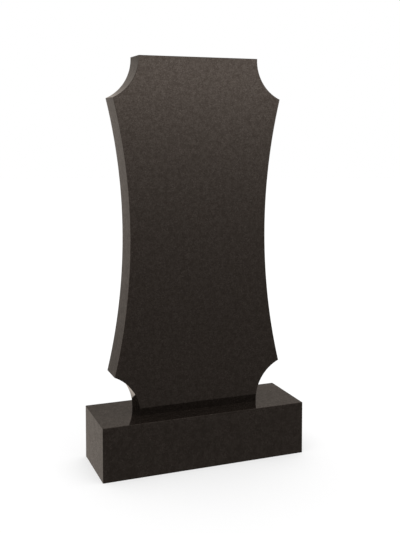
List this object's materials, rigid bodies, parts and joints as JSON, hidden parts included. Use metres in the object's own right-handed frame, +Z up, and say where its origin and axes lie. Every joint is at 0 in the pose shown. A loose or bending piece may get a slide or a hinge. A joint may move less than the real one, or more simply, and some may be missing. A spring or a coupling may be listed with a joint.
{
  "type": "headstone",
  "caption": "Upright headstone of dark polished stone: a slab with hollowed sides and scooped corners, standing on a rectangular plinth.",
  "frame": {"origin": "centre of the plinth's underside", "axes": "+Z up along the stele's height, +X along the plinth's length to the right seen from the front, -Y out of the polished front face"},
  "size_m": [0.6, 0.2, 1.15],
  "materials": {
    "polished_stone": "polished"
  },
  "bodies": {
    "root": {"stele": "polished_stone", "plinth": "polished_stone"}
  },
  "joints": []
}
